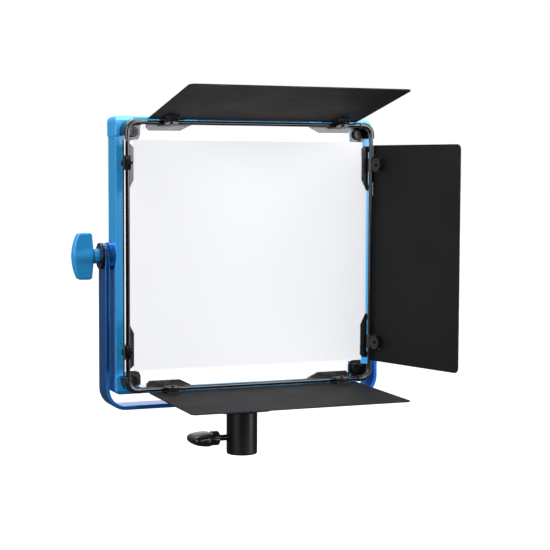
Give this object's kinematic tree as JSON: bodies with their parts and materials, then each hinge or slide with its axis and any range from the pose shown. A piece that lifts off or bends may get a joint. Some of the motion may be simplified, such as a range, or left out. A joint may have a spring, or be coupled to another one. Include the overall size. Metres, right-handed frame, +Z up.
{
  "type": "led panel light",
  "caption": "Square LED light panel in a blue aluminium frame, tilting in a U-shaped yoke with a stand socket, with folding black barn doors on a rod frame.",
  "frame": {"origin": "centre of the stand socket's mouth, where a light stand's spigot enters", "axes": "+X to the right seen from the lit side, the light shines towards -Y, +Z up; the head tilts about X"},
  "size_m": [0.3412, 0.2033, 0.3526],
  "materials": {
    "blue_metal": "satin blue anodised or painted aluminium",
    "blue_plastic": "moulded blue plastic, soft gloss",
    "black_metal": "satin black painted metal",
    "door_black": "matte black painted aluminium sheet",
    "rod_black": "gloss black painted steel rod",
    "black_plastic": "black moulded plastic",
    "bare_steel": "plated steel",
    "black_screw": "blackened steel fastener",
    "brass": "turned brass",
    "opal": "opal white acrylic",
    "filter_white": "white diffusion sheet",
    "white_board": "white solder mask",
    "led_yellow": "phosphor-coated emitters",
    "green_board": "green circuit board",
    "component_black": "electronic components",
    "window": "smoked display window",
    "display": "display module",
    "contact_gold": "plated contact blades"
  },
  "bodies": {
    "support": {"stand_socket": "black_metal", "yoke_pad": "blue_metal", "yoke_bracket": "blue_metal", "socket_bolt": "black_screw", "knob_washers": "black_plastic", "friction_discs": "black_plastic"},
    "lock_grip": {"lock_screw": "black_screw", "lock_handle": "black_plastic", "lock_pad": "brass"},
    "tilt_knob_left": {"knob_left": "blue_plastic", "knob_left_stud": "bare_steel"},
    "tilt_knob_right": {"knob_right": "blue_plastic", "knob_right_stud": "bare_steel"},
    "brightness_control": {"brightness_dial": "black_plastic"},
    "colour_control": {"colour_dial": "black_plastic"},
    "mode_key": {"mode_button": "black_plastic"},
    "power_key": {"power_rocker": "black_plastic"},
    "catch_left": {"battery_latch_left": "black_plastic"},
    "catch_right": {"battery_latch_right": "black_plastic"},
    "door_top": {"door_top_leaf": "door_black", "door_top_straps": "black_metal", "door_top_fasteners": "black_screw"},
    "door_bottom": {"door_bottom_leaf": "door_black", "door_bottom_straps": "black_metal", "door_bottom_fasteners": "black_screw"},
    "door_right": {"door_right_leaf": "door_black", "door_right_straps": "black_metal", "door_right_fasteners": "black_screw"},
    "door_left": {"door_left_leaf": "door_black", "door_left_straps": "black_metal", "door_left_fasteners": "black_screw"},
    "head": {"right_rail": "blue_metal", "left_rail": "blue_metal", "top_profile": "blue_metal", "bottom_profile": "blue_metal", "corner_caps": "blue_plastic", "pivot_bosses": "blue_metal", "pivot_inserts": "bare_steel", "opal_cover": "opal", "reflector_liner": "white_board", "led_board": "white_board", "led_emitters": "led_yellow", "back_plate": "black_metal", "rear_housing": "black_plastic", "driver_board": "green_board", "driver_parts": "component_black", "control_board": "green_board", "display_window": "window", "display_module": "display", "switch_body": "black_plastic", "dc_inlet": "component_black", "battery_plates": "black_plastic", "battery_contacts": "contact_gold", "latch_springs": "bare_steel", "housing_screws": "black_screw", "rod_frame": "rod_black", "corner_brackets": "black_metal", "corner_thumbscrews": "black_screw", "filter_clips": "black_metal", "diffusion_filter": "filter_white"}
  },
  "joints": [
    {"name": "head_tilt", "type": "hinge", "parent": "support", "child": "head", "pos_m": [0, 0, 0.1975], "axis": [1, 0, 0], "range_deg": [-90, 16]},
    {"name": "door_top_fold", "type": "hinge", "parent": "head", "child": "door_top", "pos_m": [0, -0.028, 0.3225], "axis": [1, 0, 0], "range_deg": [-77.5, 96.5]},
    {"name": "door_bottom_fold", "type": "hinge", "parent": "head", "child": "door_bottom", "pos_m": [0, -0.028, 0.0725], "axis": [-1, 0, 0], "range_deg": [-89, 85]},
    {"name": "door_right_fold", "type": "hinge", "parent": "head", "child": "door_right", "pos_m": [0.125, -0.028, 0.1975], "axis": [0, 0, -1], "range_deg": [-74.5, 105.5]},
    {"name": "door_left_fold", "type": "hinge", "parent": "head", "child": "door_left", "pos_m": [-0.125, -0.028, 0.1975], "axis": [0, 0, 1], "range_deg": [-73, 107]},
    {"name": "tilt_knob_left_turn", "type": "hinge", "parent": "support", "child": "tilt_knob_left", "pos_m": [-0.1418, 0, 0.1975], "axis": [-1, 0, 0], "range_deg": [0, 360]},
    {"name": "tilt_knob_right_turn", "type": "hinge", "parent": "support", "child": "tilt_knob_right", "pos_m": [0.1418, 0, 0.1975], "axis": [1, 0, 0], "range_deg": [0, 360]},
    {"name": "lock_turn", "type": "hinge", "parent": "support", "child": "lock_grip", "pos_m": [-0.0245, 0, 0.0168], "axis": [1, 0, 0], "range_deg": [-360, 360]},
    {"name": "brightness_turn", "type": "hinge", "parent": "head", "child": "brightness_control", "pos_m": [0.018, 0.0398, 0.2455], "axis": [0, 1, 0], "range_deg": [-150, 150]},
    {"name": "colour_turn", "type": "hinge", "parent": "head", "child": "colour_control", "pos_m": [0.056, 0.0398, 0.2455], "axis": [0, 1, 0], "range_deg": [-150, 150]},
    {"name": "mode_press", "type": "slide", "parent": "head", "child": "mode_key", "axis": [0, -1, 0], "range_m": [0, 0.0012], "stiffness_N_per_m": 600, "springref_m": -0.0006},
    {"name": "power_rock", "type": "hinge", "parent": "head", "child": "power_key", "pos_m": [0.058, 0.0383, 0.2115], "axis": [0, 0, 1], "range_deg": [0, 14]},
    {"name": "catch_left_press", "type": "slide", "parent": "head", "child": "catch_left", "axis": [0, -1, 0], "range_m": [0, 0.0025], "stiffness_N_per_m": 500, "springref_m": -0.001},
    {"name": "catch_right_press", "type": "slide", "parent": "head", "child": "catch_right", "axis": [0, -1, 0], "range_m": [0, 0.0025], "stiffness_N_per_m": 500, "springref_m": -0.001}
  ]
}
